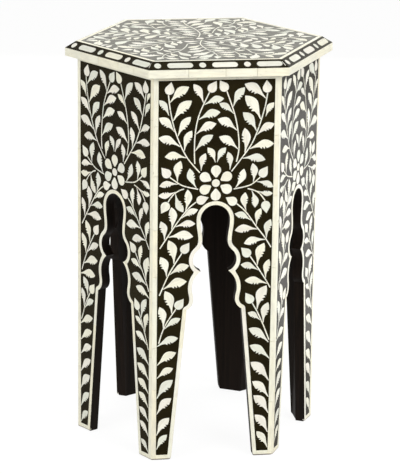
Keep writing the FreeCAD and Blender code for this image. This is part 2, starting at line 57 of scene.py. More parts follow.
def add(tree, kind, inputs=None, stops=(), **settings):
    """A node with its settings, its inputs set or linked by socket, and a ramp's colours."""
    node = tree.nodes.new(kind)
    for name, value in settings.items():
        setattr(node, name, value)
    for socket, value in (inputs or {}).items():
        if isinstance(value, bpy.types.NodeSocket):
            tree.links.new(value, node.inputs[socket])
        else:
            node.inputs[socket].default_value = value
    for index, (place, colour) in enumerate(stops):
        ramp = node.color_ramp.elements
        stop = ramp[index] if index < 2 else ramp.new(place)
        stop.position = place
        stop.color = colour
    return node


def new_finish(name):
    """An empty finish: the material, its tree and its shader."""
    material = bpy.data.materials.new(name)
    material.use_nodes = True
    return material, material.node_tree, material.node_tree.nodes["Principled BSDF"]


def noise_scale(width):
    """Scale of a noise texture whose patches are this many millimetres wide."""
    return 0.5 / (width * MM)


# Black paint brushed on plywood: dull, dark, with grain 2 mm wide that runs up the board.
GRAIN_WIDTH = 2.0
board_paint, tree, shader = new_finish("brushed_paint_on_plywood")
place = add(tree, "ShaderNodeTexCoord").outputs["Object"]
upright = add(tree, "ShaderNodeMapping", {"Vector": place, "Scale": (1, 1, 0.03)}).outputs[0]
grain = add(tree, "ShaderNodeTexNoise", {"Vector": upright, "Scale": noise_scale(GRAIN_WIDTH), "Detail": 4})
paint = add(tree, "ShaderNodeValToRGB", {"Fac": grain.outputs["Fac"]},
            [(0.35, linear("#130e0a")), (0.75, linear("#211812"))])
brushed = add(tree, "ShaderNodeBump",
              {"Height": grain.outputs["Fac"], "Strength": 0.3, "Distance": 0.2 * MM})
tree.links.new(paint.outputs["Color"], shader.inputs["Base Color"])
tree.links.new(brushed.outputs["Normal"], shader.inputs["Normal"])
shader.inputs["Roughness"].default_value = 0.6
shader.inputs["Specular IOR Level"].default_value = 0.08

for side in SIDES:
    nodes["side_board_" + side].data.materials[0] = board_paint
nodes["top_board"].data.materials[0] = board_paint
nodes["corner_blocks"].data.materials[0] = board_paint


# Splines: thin strips of mango wood, planed and left bare, glued into grooves across the mitres.
# They hold the corners together and are hidden between the boards.
RING_WIDTH = 6.0
WAVE_WIDTH = 0.31          # from ring to ring of the wave texture at a scale of 1
BEND_SCALE = 14.0          # slow bends in the rings, some 36 mm wide
mango, tree, shader = new_finish("planed_mango_wood")
place = add(tree, "ShaderNodeTexCoord").outputs["Object"]
waver = add(tree, "ShaderNodeTexNoise", {"Vector": place, "Scale": BEND_SCALE, "Detail": 2})
rings = add(tree, "ShaderNodeTexWave",
            {"Vector": place, "Scale": WAVE_WIDTH / (RING_WIDTH * MM), "Distortion": 3.5, "Detail": 2.5,
             "Detail Scale": 1.6, "Phase Offset": waver.outputs["Fac"]}, bands_direction="DIAGONAL")
wood = add(tree, "ShaderNodeValToRGB", {"Fac": rings.outputs["Fac"]},
           [(0.1, linear("#6f4a2c")), (0.9, linear("#9a7148"))])
planed = add(tree, "ShaderNodeBump",
             {"Height": rings.outputs["Fac"], "Strength": 0.15, "Distance": 0.2 * MM})
tree.links.new(wood.outputs["Color"], shader.inputs["Base Color"])
tree.links.new(planed.outputs["Normal"], shader.inputs["Normal"])
shader.inputs["Roughness"].default_value = 0.6
nodes["mitre_splines"].data.materials[0] = mango


# Resin ground of each side: black polyester resin, cast 3 mm thick round the bone, ground flush
# and polished. It is outlined by the strips and by the cusped keyhole arch.
FACE = 157.18              # axis to the face of a side
SIDE_TURN = 60             # degrees from one side to the next
INLAY = 3.0
FIELD_HALF = 83.75
FIELD_FOOT = 8.5
FIELD_TOP = 571.5
EDGING_WIDTH = 5.8
FOOT = Vector((61.5, 0))
SHOULDER = Vector((40.4, 231))
WAIST = Vector((30.8, 246))
LOWER_LOBE = Vector((33, 264))
CUSP = Vector((20.3, 289))
UPPER_LOBE = Vector((32, 306))
NECK = Vector((18.6, 335))
HEAD = Vector((21.5, 366.5))
CROWN = Vector((0, 388))
LEG_STEPS = 12             # steps that a leg, an arc and half an ogee are drawn in
ARC_STEPS = 9
OGEE_STEPS = 6
CLOSE = 0.1                # points nearer than this count as one


def turned(index):
    """Turns what is drawn for the front round to one of the sides."""
    return Matrix.Rotation(math.radians(SIDE_TURN * index), 4, "Z")


def side_frame(index, face=FACE):
    """Stands a flat drawing, X across and Y up and Z out of it, on one side of the table."""
    return turned(index) @ Matrix.Translation((0, -face * MM, 0)) @ Matrix.Rotation(math.radians(90), 4, "X")


def swell(upright, other, steps=ARC_STEPS):
    """Points of the arc that leaves the first point straight up or down and ends at the second."""
    across, rise = other - upright
    arm = Vector((-(across ** 2 + rise ** 2) / (2 * across), 0))
    centre = upright - arm
    sweep = arm.angle_signed(other - centre)
    return [centre + Matrix.Rotation(-sweep * i / steps, 2) @ arm for i in range(steps + 1)]


def ogee(lower, upper):
    """Two arcs, upright at both ends, that meet half way."""
    middle = (lower + upper) / 2
    return swell(lower, middle, OGEE_STEPS) + swell(upper, middle, OGEE_STEPS)[-2::-1]


def beside(points, distance):
    """The points moved to the right of the way they run."""
    runs = [after - before for before, after in zip(points, points[2:])]
    runs.insert(0, 4 * points[1] - 3 * points[0] - points[2])
    runs.append(3 * points[-1] - 4 * points[-2] + points[-3])
    return [point + Vector((run.y, -run.x)).normalized() * distance for point, run in zip(points, runs)]


def apart(point, line):
    """Distance from a point to a line of points."""
    gaps = []
    for start, end in zip(line, line[1:]):
        share = intersect_point_line(point, start, end)[1]
        gaps.append((point - start.lerp(end, min(max(share, 0), 1))).length)
    return min(gaps)


# The right half of the opening from the floor up, in the lengths that its edging is cut in.
leg = [FOOT.lerp(SHOULDER, i / LEG_STEPS) for i in range(LEG_STEPS + 1)]
lower = swell(WAIST, SHOULDER)[::-1] + ogee(WAIST, LOWER_LOBE)[1:] + swell(LOWER_LOBE, CUSP)[1:]
upper = swell(UPPER_LOBE, CUSP)[::-1] + ogee(NECK, UPPER_LOBE)[-2::-1]
head = ogee(NECK, HEAD) + swell(HEAD, CROWN)[1:]
arch_lengths = [leg, lower, upper, head]
arch_line = [point for length in arch_lengths for point in length]

# The outside of the edging. Where two lengths meet in a cusp the offset points that come too
# near to the other length are left out, and where they meet in a corner one point joins them.
edging_lengths = [[point for point in beside(length, EDGING_WIDTH)
                   if apart(point, arch_line) > EDGING_WIDTH - CLOSE / 2] for length in arch_lengths]
for lower_length, upper_length, corner in zip(edging_lengths, edging_lengths[1:], (SHOULDER, CUSP, NECK)):
    meet = (lower_length[-1] + upper_length[0]) / 2
    join = corner + (meet - corner).normalized() * max(EDGING_WIDTH, (meet - corner).length)
    if (lower_length[-1] - join).length > CLOSE:
        lower_length.append(join)
        upper_length.insert(0, join)
edging_line = edging_lengths[0] + [point for length in edging_lengths[1:] for point in length[1:]]

# Polished black resin: brown-black in the light, glossy, with a faint swirl of polishing marks
# and a slow ripple left by the grinding. The marks are drawn 0.8 mm wide so that they show.
MARK_WIDTH = 0.8
RIPPLE_WIDTH = 22.5
resin, tree, shader = new_finish("polished_black_resin")
place = add(tree, "ShaderNodeTexCoord").outputs["Object"]
cloud = add(tree, "ShaderNodeTexNoise", {"Vector": place, "Scale": noise_scale(RIPPLE_WIDTH), "Detail": 3})
marks = add(tree, "ShaderNodeTexNoise", {"Vector": place, "Scale": noise_scale(MARK_WIDTH), "Detail": 3})
black = add(tree, "ShaderNodeValToRGB", {"Fac": cloud.outputs["Fac"]},
            [(0.3, linear("#1c1708")), (0.7, linear("#26200d"))])
gloss = add(tree, "ShaderNodeMapRange",
            {"Value": marks.outputs["Fac"], "From Min": 0.3, "From Max": 0.7, "To Min": 0.22, "To Max": 0.36})
ripple = add(tree, "ShaderNodeBump",
             {"Height": cloud.outputs["Fac"], "Strength": 0.25, "Distance": 0.4 * MM})
scratched = add(tree, "ShaderNodeBump",
                {"Height": marks.outputs["Fac"], "Strength": 0.12, "Distance": 0.05 * MM,
                 "Normal": ripple.outputs["Normal"]})
tree.links.new(black.outputs["Color"], shader.inputs["Base Color"])
tree.links.new(gloss.outputs["Result"], shader.inputs["Roughness"])
tree.links.new(scratched.outputs["Normal"], shader.inputs["Normal"])
shader.inputs["IOR"].default_value = 1.5
shader.inputs["Specular IOR Level"].default_value = 0.035


def mirrored(points):
    """The points of a right half as those of the left half, in the other order."""
    return [Vector((-point.x, point.y)) for point in reversed(points)]


def raise_slab(mesh, outline, low, high):
    """A slab of this outline between two levels of the drawing, and its upper face's rim."""
    bed = mesh.faces.new([mesh.verts.new((point.x * MM, point.y * MM, low * MM)) for point in outline])
    raised = bmesh.ops.extrude_face_region(mesh, geom=[bed])["geom"]
    rim = [part for part in raised if isinstance(part, bmesh.types.BMEdge)]
    corners = [part for part in raised if isinstance(part, bmesh.types.BMVert)]
    bmesh.ops.translate(mesh, verts=corners, vec=(0, 0, (high - low) * MM))
    return rim


def set_up(name, mesh, finish, replaced):
    """Makes the finished mesh a piece of the table that stands for these nodes."""
    bmesh.ops.recalc_face_normals(mesh, faces=mesh.faces)
    for face in mesh.faces:
        face.smooth = False
    data = bpy.data.meshes.new(name)
    mesh.to_mesh(data)
    mesh.free()
    data.materials.append(finish)
    piece = bpy.data.objects.new(name, data)
    scene.collection.objects.link(piece)
    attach(piece, "root")
    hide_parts(*replaced)
    return piece


foot_share = (FIELD_FOOT - edging_line[0].y) / (edging_line[1].y - edging_line[0].y)
ground_arch = [edging_line[0].lerp(edging_line[1], foot_share)] + edging_line[1:]
ground_outline = [Vector((FIELD_HALF, FIELD_FOOT)), Vector((FIELD_HALF, FIELD_TOP)),
                  Vector((-FIELD_HALF, FIELD_TOP)), Vector((-FIELD_HALF, FIELD_FOOT))]
ground_outline += mirrored(ground_arch)[::-1] + ground_arch[-2::-1]
for index, side in enumerate(SIDES):
    mesh = bmesh.new()
    raise_slab(mesh, ground_outline, -INLAY, 0)
    mesh.transform(side_frame(index))
    set_up("resin_ground_" + side, mesh, resin, ["panel_ground_" + side])


# Edging of the arch: strips and sawn lobes of bone, 6 mm wide, butted end to end round the
# opening and glued to the board. No two lengths have quite the same colour. The paint of the
# board runs on over their inner side, and the inner corner of each foot is worn round.
chance = random.Random(11)
ACROSS = Vector((1, 0))
UP = Vector((0, 1))
WORN_EDGE = 0.3            # round the face of each piece of bone
PROUD = (0.04, 0.12)       # a piece stands at least and at most this far out of the resin
LEAF_TINTS = (0.3, 1)      # from yellow at 0 to grey at 1
EDGING_TINTS = (0.1, 0.7)
spare = bpy.data.meshes.new("spare")


def join_to(group, mesh):
    """Adds a finished mesh to a group of them."""
    mesh.to_mesh(spare)
    mesh.free()
    group.from_mesh(spare)


def lay_bone(group, outline, along, bed=None, tints=LEAF_TINTS):
    """Adds one piece of bone to a group. Its outline is in the drawing, its grain runs along
    this direction, and its bed may be narrower than its face where a corner is mitred."""
    mesh = bmesh.new()
    tint_layer = mesh.verts.layers.float.new("tint")
    grain_layer = mesh.loops.layers.uv.new("grain")
    rim = raise_slab(mesh, outline, -INLAY, chance.uniform(*PROUD))
    for vert, (x, y) in zip(mesh.verts, bed or outline):
        vert.co.xy = x * MM, y * MM
    bmesh.ops.bevel(mesh, geom=rim, offset=WORN_EDGE * MM, offset_type="OFFSET", segments=1,
                    profile=0.5, affect="EDGES", material=-1, clamp_overlap=True)
    tint = chance.uniform(*tints)
    cut_from = Vector((chance.random(), chance.random()))
    run = along.normalized()
    for vert in mesh.verts:
        vert[tint_layer] = tint
    for face in mesh.faces:
        for loop in face.loops:
            spot = loop.vert.co.xy
            loop[grain_layer].uv = cut_from + Vector((spot.dot(run), spot.dot(run.orthogonal())))
    join_to(group, mesh)


# Cut and polished camel bone: cream white, each piece tinted a little warm, grey or green, with
# grey blotches, streaks about 1 mm wide along the grain, short dark pores, which are drawn twice
# as wide as real ones so that they show, and a chip here and there. Polished satin. Each piece is
# darkened brown from the floor up to about 2.8 mm.
BLOTCH_WIDTH = 4.0
STREAK_WIDTH = 1.0
PORE_SPACING = 2.0
CHIP_SPACING = 18.0
FOOT_DARKENING_LEVEL = 2.8          # the brown darkening of the bone ends about this far above the floor,
FOOT_DARKENING_FADE = 0.2           # fading over this share of that below and above it
bone, tree, shader = new_finish("polished_camel_bone")
tint = add(tree, "ShaderNodeAttribute", attribute_name="tint").outputs["Fac"]
grain = add(tree, "ShaderNodeUVMap", uv_map="grain").outputs["UV"]
cream = add(tree, "ShaderNodeValToRGB", {"Fac": tint},
            [(0.0, linear("#f0e9cc")), (1.0, linear("#e6e9da")), (0.2, linear("#f4f0d9")),
             (0.4, linear("#efedda")), (0.55, linear("#f4f3e4")), (0.7, linear("#f1ece0")),
             (0.85, linear("#e2e3d6"))])


def along_grain(share):
    """Places for a pattern drawn out along the grain, where the share is its width by its length."""
    return add(tree, "ShaderNodeMapping", {"Vector": grain, "Scale": (share, 1, 1)}).outputs[0]


def marked(colour, mark, value, levels, shares):
    """A colour with marks of another on it. Their share goes from the first of the shares to the
    second while the value goes from the first of the levels to the second."""
    share = add(tree, "ShaderNodeMapRange",
                {"Value": value, "From Min": levels[0], "From Max": levels[1],
                 "To Min": shares[0], "To Max": shares[1]}).outputs["Result"]
    mix = add(tree, "ShaderNodeMix", {"Factor": share, "A": colour, "B": linear(mark)}, data_type="RGBA")
    return mix.outputs["Result"]


blotches = add(tree, "ShaderNodeTexNoise",
               {"Vector": along_grain(0.35), "Scale": noise_scale(BLOTCH_WIDTH), "Detail": 2})
streaks = add(tree, "ShaderNodeTexNoise",
              {"Vector": along_grain(0.06), "Scale": noise_scale(STREAK_WIDTH), "Detail": 3})
pores = add(tree, "ShaderNodeTexVoronoi", {"Vector": along_grain(0.2), "Scale": 1 / (PORE_SPACING * MM)})
chips = add(tree, "ShaderNodeTexVoronoi", {"Vector": along_grain(0.33), "Scale": 1 / (CHIP_SPACING * MM)})
place = add(tree, "ShaderNodeTexCoord").outputs["Object"]
level = add(tree, "ShaderNodeSeparateXYZ", {"Vector": place}).outputs["Z"]
foot_darkening_levels = ((1 - FOOT_DARKENING_FADE) * FOOT_DARKENING_LEVEL * MM, (1 + FOOT_DARKENING_FADE) * FOOT_DARKENING_LEVEL * MM)
blotched = marked(cream.outputs["Color"], "#d3d0c2", blotches.outputs["Fac"], (0.45, 0.7), (0, 0.5))
streaked = marked(blotched, "#d9d0b4", streaks.outputs["Fac"], (0.45, 0.8), (0, 0.5))
pored = marked(streaked, "#a08c66", pores.outputs["Distance"], (0.06, 0.16), (0.45, 0))
chipped = marked(pored, "#7d6c4e", chips.outputs["Distance"], (0.02, 0.05), (0.65, 0))
# Every piece of bone is darkened brown from the floor up to about 2.8 mm, fading in and out.
darkened_at_foot = marked(chipped, "#5f4335", level, foot_darkening_levels, (0.85, 0))
satin = add(tree, "ShaderNodeMapRange",
            {"Value": streaks.outputs["Fac"], "From Min": 0.3, "From Max": 0.7,
             "To Min": 0.34, "To Max": 0.48})
worn = add(tree, "ShaderNodeBump",
           {"Height": streaks.outputs["Fac"], "Strength": 0.1, "Distance": 0.1 * MM})
tree.links.new(darkened_at_foot, shader.inputs["Base Color"])
tree.links.new(satin.outputs["Result"], shader.inputs["Roughness"])
tree.links.new(worn.outputs["Normal"], shader.inputs["Normal"])
shader.inputs["IOR"].default_value = 1.54

FOOT_GAP = 1.5             # bone and resin stop this far above the floor
LEG_JOINTS = ((0, 5), (5, 9), (9, LEG_STEPS))
FOOT_WEAR = 3.0            # a foot is worn this far from its inner corner
FOOT_ROUND = 0.6           # how near the worn curve comes to that corner
FOOT_POINTS = 5
UPRIGHT = 0.2              # faces that look up or down less than this stand upright


def lifted(line):
    """The line of a leg with its foot lifted to the gap above the floor."""
    return [line[0].lerp(line[1], FOOT_GAP / leg[1].y)] + line[1:]


def worn_corner(before, corner, after):
    """Points round a worn corner of an outline."""
    start = corner + (before - corner).normalized() * FOOT_WEAR
    end = corner + (after - corner).normalized() * FOOT_WEAR
    curve = interpolate_bezier(start, start.lerp(corner, FOOT_ROUND), end.lerp(corner, FOOT_ROUND), end,
                               FOOT_POINTS)
    return [Vector(point[:2]) for point in curve]


for index, side in enumerate(SIDES):
    mesh = bmesh.new()
    lengths = []
    inside, outside = lifted(leg), lifted(edging_lengths[0])
    for start, end in LEG_JOINTS:
        lengths.append((inside[start:end + 1], outside[start:end + 1]))
    lengths[-1][1].append(outside[-1])
    lengths[0][0][:1] = worn_corner(outside[0], inside[0], inside[1])
    lengths += list(zip(arch_lengths[1:], edging_lengths[1:]))
    for inside, outside in lengths:
        outline = inside + outside[::-1]
        along = inside[-1] - inside[0]
        lay_bone(mesh, outline[::-1], along, tints=EDGING_TINTS)
        lay_bone(mesh, mirrored(outline[::-1]), Vector((-along.x, along.y)), tints=EDGING_TINTS)
    mesh.normal_update()
    for face in mesh.faces:
        spot = face.calc_center_median() / MM
        if abs(face.normal.z) < UPRIGHT and apart(Vector((abs(spot.x), spot.y)), arch_line) < CLOSE:
            face.material_index = 1
    mesh.transform(side_frame(index))
    edging = set_up("arch_edging_bone_" + side, mesh, bone, ["arch_edging_" + side])
    edging.data.materials.append(board_paint)


# Strips of bone down both edges of each side, under the top and across the feet, 7 mm wide,
# sawn in short lengths and glued to the board. At the corners the strips of two sides are
# mitred together.
PANEL_HALF = 90.75
PANEL_TOP = 578.5
JOINT = 0.4                # dark line of glue where two lengths meet
STRIP_TINTS = (0, 0.4)     # strips are cut from yellower bone than the leaves
CORNER_LENGTHS = (60, 120)  # shortest and longest
HEAD_LENGTHS = (45, 75)
HALF_SIDE = math.tan(math.radians(SIDE_TURN / 2))    # half a side by its distance from the axis
MITRE = INLAY * HALF_SIDE


def box_outline(left, bottom, right, top):
    """A box by its edges."""
    return [Vector((left, bottom)), Vector((right, bottom)), Vector((right, top)), Vector((left, top))]


def lengths_of_strip(start, end, shortest, longest):
    """Both ends of each of the uneven lengths that a strip is sawn in, with open joints between."""
    places = [start]
    while end - places[-1] > shortest + longest:
        places.append(places[-1] + chance.uniform(shortest, longest))
    if end - places[-1] > longest:
        places.append((places[-1] + end) / 2)
    places.append(end)
    cut = JOINT / 2
    return [(a + cut * (a > start), b - cut * (b < end)) for a, b in zip(places, places[1:])]


for index, side in enumerate(SIDES):
    mesh = bmesh.new()
    for bottom, top in lengths_of_strip(FOOT_GAP, PANEL_TOP, *CORNER_LENGTHS):
        outline = box_outline(FIELD_HALF, bottom, PANEL_HALF, top)
        bed = box_outline(FIELD_HALF, bottom, PANEL_HALF - MITRE, top)
        lay_bone(mesh, outline, UP, bed, STRIP_TINTS)
    for bottom, top in lengths_of_strip(FOOT_GAP, PANEL_TOP, *CORNER_LENGTHS):
        outline = box_outline(-PANEL_HALF, bottom, -FIELD_HALF, top)
        bed = box_outline(-PANEL_HALF + MITRE, bottom, -FIELD_HALF, top)
        lay_bone(mesh, outline, UP, bed, STRIP_TINTS)
    mesh.transform(side_frame(index))
    set_up("corner_strips_bone_" + side, mesh, bone, ["corner_strips_" + side])

head_strips = bmesh.new()
foot_strips = bmesh.new()
for index in range(len(SIDES)):
    mesh = bmesh.new()
    for left, right in lengths_of_strip(-FIELD_HALF, FIELD_HALF, *HEAD_LENGTHS):
        lay_bone(mesh, box_outline(left, FIELD_TOP, right, PANEL_TOP), ACROSS, tints=STRIP_TINTS)
    mesh.transform(side_frame(index))
    join_to(head_strips, mesh)
    mesh = bmesh.new()
    inner = lifted(edging_line)[0]
    strip = [inner, Vector((FIELD_HALF, FOOT_GAP)), Vector((FIELD_HALF, FIELD_FOOT)), ground_arch[0]]
    lay_bone(mesh, strip, ACROSS, tints=STRIP_TINTS)
    lay_bone(mesh, mirrored(strip), ACROSS, tints=STRIP_TINTS)
    mesh.transform(side_frame(index))
    join_to(foot_strips, mesh)
set_up("head_strips_bone", head_strips, bone, ["head_strips"])
set_up("foot_strips_bone", foot_strips, bone, ["foot_strips"])


# Vine and flower of each side: some hundred leaves, buds and short lengths of stem, fretted out
# of thin bone after one paper template and laid by hand. No two sides are quite alike, and the
# front left one was laid otherwise in places. A leaf has a smooth back and nicks in its belly.
STEM_WIDTH = 2.2
STEM_GAP = 0.05
LEAST_SLANT = 0.3          # a leaf that leaves its stem at less than this is rooted as if at this
STEM_STEPS = 5             # steps of a stem between two points and in each of its lengths,
LEAF_STEPS = 2             # and of a leaf's outline
LEAF_FULL = (0.92, 1.08)   # leaner and fuller leaves
NICK_SHIFT = 0.03          # the nicks of a leaf are filed up to this share nearer or further
TIP_REACH = 2.0            # the fine point of a leaf runs on past its template
ROOT_NEAR = 5.0            # a root this near to a corner strip is set close against it,
ROOT_REACH = 2.2           # by as much as this
BUD_LENGTH = 19.3
BUD_WIDTH = 14.0
BUD_STEPS = 14
TIP_SHIFT = 0.5            # how far a tip, a stem or root, and a petal are laid off the template
STEM_SHIFT = 0.3
PETAL_SHIFT = 0.2
FLOWER = Vector((0, 420.6))
DISC = 12.0                # diameter of the flower's middle
DISC_TINTS = (0.2, 0.8)
DISC_STEPS = 18
PETALS = 6
PETAL_START = 6.4          # from the middle of the flower
PETAL_END = 26.3
PETAL_WIDTH = 15.2
PETAL_BLUNT = 0.22         # share of a petal's straight flanks that is cut off its point
SIDE_VINES = [
    # Stem from the root up, tip of its bud, leaves as (share of the stem's length, tip)
    ([(-23.2, 436), (-41, 457.5), (-52, 479), (-61, 503), (-67, 529), (-70, 550)], (-65.5, 570),
     [(0.23, (-73, 461)), (0.31, (-36, 497)), (0.37, (-82, 488)), (0.5, (-38.5, 517)),
      (0.55, (-81.5, 516.5)), (0.69, (-37, 541)), (0.905, (-42, 561))]),
    ([(-30.6, 449.5), (-31.8, 466), (-30.5, 494), (-25, 522), (-11.5, 553)], (-0.8, 570),
     [(0.17, (-6, 490)), (0.4, (-1.5, 507)), (0.6, (3, 524)), (0.81, (9, 544)),
      (0.83, (-33, 564))]),
    ([(29.2, 451), (33, 470), (31.5, 493), (26, 521), (14.5, 554)], (3, 570.5),
     [(0.17, (5, 488)), (0.43, (2.5, 514)), (0.66, (4.5, 536)), (0.76, (39, 558))]),
    ([(22.2, 437), (39, 459.5), (51.5, 478), (61.5, 502), (69.5, 531), (73, 550)], (71, 570),
     [(0.19, (70, 453.5)), (0.25, (40.5, 499.5)), (0.32, (82, 476.5)), (0.49, (82.5, 505.5)),
      (0.54, (39, 522.5)), (0.68, (41, 546)), (0.93, (41, 564))]),
    ([(-25.7, 412), (-42, 416), (-52, 420), (-66, 430)], (-79, 446),
     [(0.05, (-38, 442)), (0.62, (-80, 418)), (0.7, (-51.5, 453))]),
    ([(-46, 413), (-52.5, 411), (-60, 406), (-65.5, 400), (-68, 396)], (-79, 377),
     [(0.3, (-81, 404.5)), (0.46, (-47, 380.5))]),
    ([(25.6, 411.3), (42.5, 414), (52.5, 418), (64, 426.5)], (75.5, 444),
     [(0.05, (40, 439.5)), (0.69, (53.5, 447)), (0.79, (82, 413))]),
    ([(46.5, 411.3), (57, 408), (64.5, 403), (72, 396.5)], (75, 373),
     [(0.18, (57.5, 384.5)), (0.33, (82, 403.5))]),
    ([(-79, 327), (-66.5, 347), (-53, 366.5), (-40, 383.5), (-31, 392.5)], (-9.5, 400),
     [(0.15, (-79.5, 364.5)), (0.23, (-34, 342)), (0.36, (-64, 385)), (0.44, (-30.5, 361)),
      (0.6, (-27, 381.5)), (0.75, (-41, 410.5))]),
    ([(81.5, 324), (73, 337), (60.5, 354), (48, 371.5), (39.5, 381.5), (32, 388.5)], (14.5, 399),
     [(0.17, (44, 329)), (0.17, (81, 362.5)), (0.4, (30.5, 349)), (0.47, (66.5, 380)),
      (0.58, (30, 373.5)), (0.77, (43.5, 404))]),
    ([(-80, 256), (-75, 268), (-68.5, 283), (-61, 297), (-48.5, 317)], (-37, 333),
     [(0.14, (-42, 274)), (0.4, (-79, 311.5)), (0.47, (-39.5, 298)), (0.71, (-68, 336))]),
    ([(81.5, 263), (76.5, 272), (68.5, 285), (61, 296), (52, 309.5)], (38, 323.5),
     [(0.12, (46, 273)), (0.26, (80, 302.5)), (0.54, (39.5, 296.5)), (0.68, (71.5, 327.5))]),
    ([(-80.5, 183), (-77, 195), (-72, 208), (-66.5, 218), (-58.5, 230)], (-44.5, 249),
     [(0.38, (-50.5, 217.5)), (0.4, (-80, 236)), (0.83, (-72.5, 260))]),
    ([(81.5, 183), (75.5, 199), (70, 211.5), (63.5, 225.5), (56.5, 238)], (45.5, 254.5),
     [(0.42, (80, 236.5)), (0.5, (51, 223)), (0.79, (76.5, 263))]),
]
FRONT_LEFT_VINES = {
    # The vines that were laid otherwise on the front left side, by their place in the list above
    1: (*SIDE_VINES[1][:2],
        [(0.18, (-6, 490)), (0.42, (-2, 511.5)), (0.61, (1.5, 530.5)), (0.8, (9.5, 545.5)),
         (0.83, (-35, 565))]),
    2: (*SIDE_VINES[2][:2],
        [(0.17, (5, 487)), (0.43, (7, 511)), (0.66, (8, 537)), (0.76, (41, 559))]),
    3: (*SIDE_VINES[3][:2],
        [(0.2, (71, 457)), (0.26, (38, 493)), (0.36, (81.5, 478)), (0.5, (81, 503)),
         (0.53, (39, 517)), (0.72, (45.5, 539)), (0.92, (47, 561))]),
    10: ([(-80, 256), (-75, 268), (-68.5, 283), (-61, 297), (-49.5, 316)], (-39, 332.5),
         [(0.16, (-43, 275)), (0.4, (-80, 309)), (0.47, (-40.5, 300)), (0.71, (-70.5, 330.5))]),
    11: ([(81.5, 261), (76.5, 271), (68.5, 284), (60.5, 296), (50, 311)], (36, 324.5),
         [(0.14, (44, 276.5)), (0.26, (80.5, 309)), (0.54, (41.5, 297.5)), (0.68, (64, 322.5))]),
    12: ([(-81, 177), (-77.5, 187), (-73, 199), (-68, 209), (-61.5, 219.5)], (-49, 238),
         [(0.38, (-53, 211)), (0.4, (-81, 223)), (0.83, (-76.5, 242.5))]),
    13: ([(81.5, 172), (76, 187), (70.5, 200), (64.5, 213), (58.5, 224)], (48.5, 241.5),
         [(0.1, (53.5, 190)), (0.42, (80.5, 223.5)), (0.5, (52, 213)), (0.79, (76, 244.5))]),
}
LOOSE_LEAVES = [
    # Leaves with no stem, as (root, tip, hand)
    ((1, 451), (13.5, 471), 1), ((-1, 451), (-11.5, 472), -1),
    ((20, 439.5), (17.5, 464), -1), ((-21.5, 439.5), (-15.5, 463.5), 1),
    ((70.5, 516.5), (82.2, 536), 1), ((-68.8, 521), (-82, 542.5), -1),
]
LEG_LEAVES = [
    # Those that fill the narrow part of the legs
    ((-82.5, 177), (-54, 188), 1), ((-82.5, 148.5), (-57, 166), 1),
    ((-82.5, 128), (-60.5, 141.5), 1), ((-82.5, 97.5), (-61, 123), 1),
    ((-82.5, 72.5), (-63, 95.5), 1), ((-82.5, 40), (-65.5, 64.5), 1),
    ((-82.5, 17.5), (-68, 38.5), 1),
    ((81, 178), (53, 199), -1), ((82.5, 152.5), (55.5, 172.5), -1),
    ((82.5, 118.5), (57, 146), -1), ((82.5, 93), (59.5, 116.5), -1),
    ((82.5, 68), (61.5, 94.5), -1), ((82.5, 38), (64.5, 63.5), -1),
    ((82.5, 13.5), (67, 37), -1),
]
FRONT_LEFT_LEAVES = [
    # The same on the front left side, where they are set closer, and one more by its right strip
    ((75, 537), (82, 551.5), 1),
    ((-82.5, 247.5), (-49, 251), 1), ((-82.5, 169), (-55, 183), 1),
    ((-82.5, 143), (-57.5, 161.5), 1), ((-82.5, 121), (-58.5, 137.5), 1),
    ((-82.5, 93), (-60, 114.5), 1), ((-82.5, 66), (-62, 89.5), 1),
    ((-82.5, 37), (-64, 61), 1), ((-82.5, 11), (-66.5, 30), 1),
    ((82.5, 249), (54, 259), -1), ((82.5, 147), (56, 165), -1),
    ((82.5, 124), (57.5, 142), -1), ((82.5, 103), (59, 119), -1),
    ((82.5, 81), (61, 98.5), -1), ((82.5, 59), (62.5, 76), -1),
    ((82.5, 36), (64.5, 54.5), -1), ((82.5, 11), (67, 27), -1),
]


def smooth_line(points, steps=STEM_STEPS):
    """A smooth line through the points of a template."""
    last = len(points) - 1
    line = []
    for i in range(last):
        before, after = points[max(i - 1, 0)], points[min(i + 2, last)]
        start, end = points[i], points[i + 1]
        leave, arrive = start + (end - before) / 6, end - (after - start) / 6
        line += interpolate_bezier(start, leave, arrive, end, steps + 1)[:-1]
    return [Vector(point[:2]) for point in line] + [points[-1]]


def leaf_outline(root, tip, hand):
    """One leaf, drawn in shares of its length along and across the way from root to tip. Its
    smooth back is to the left of that way where hand is 1."""
    full = chance.uniform(*LEAF_FULL)
    shift = chance.uniform(-NICK_SHIFT, NICK_SHIFT)
    back = [(0, 0.02), (0.22, 0.1), (0.42, 0.205 * full), (0.61, 0.265 * full), (0.79, 0.21 * full),
            (0.92, 0.1), (1, 0)]
    belly = [(1, 0), (0.86, -0.08), (0.66 + shift, -0.13 * full)]
    nicks = [(0.605 + shift, -0.045), (0.57 + shift, -0.145), (0.49 + shift, -0.04),
             (0.45 + shift, -0.12), (0.37 + shift, -0.025)]
    stalk = [(0.2, -0.004), (0, -0.02)]
    shares = smooth_line([Vector(spot) for spot in back], LEAF_STEPS)
    shares += smooth_line([Vector(spot) for spot in belly], LEAF_STEPS)[1:] + nicks + stalk
    along = tip - root
    along *= 1 + TIP_REACH / along.length
    across = Vector((-along.y, along.x)) * hand
    outline = [root + along * x + across * y for x, y in shares]
    return outline if hand < 0 else outline[::-1]


def bud_outline(base, tip, width):
    """A bud like a drop, round at the stem and pointed at its tip."""
    run = (tip - base).normalized()
    side = Vector((-run.y, run.x)) * width / 2
    centre = base + run * width / 2
    lean = math.acos(width / 2 / (tip - centre).length)
    turns = [lean + (2 * math.pi - 2 * lean) * i / BUD_STEPS for i in range(BUD_STEPS + 1)]
    return [tip] + [centre + run * (width / 2 * math.cos(a)) + side * math.sin(a) for a in turns]


def length_of(line):
    """Length of a line of points."""
    return sum((end - start).length for start, end in zip(line, line[1:]))


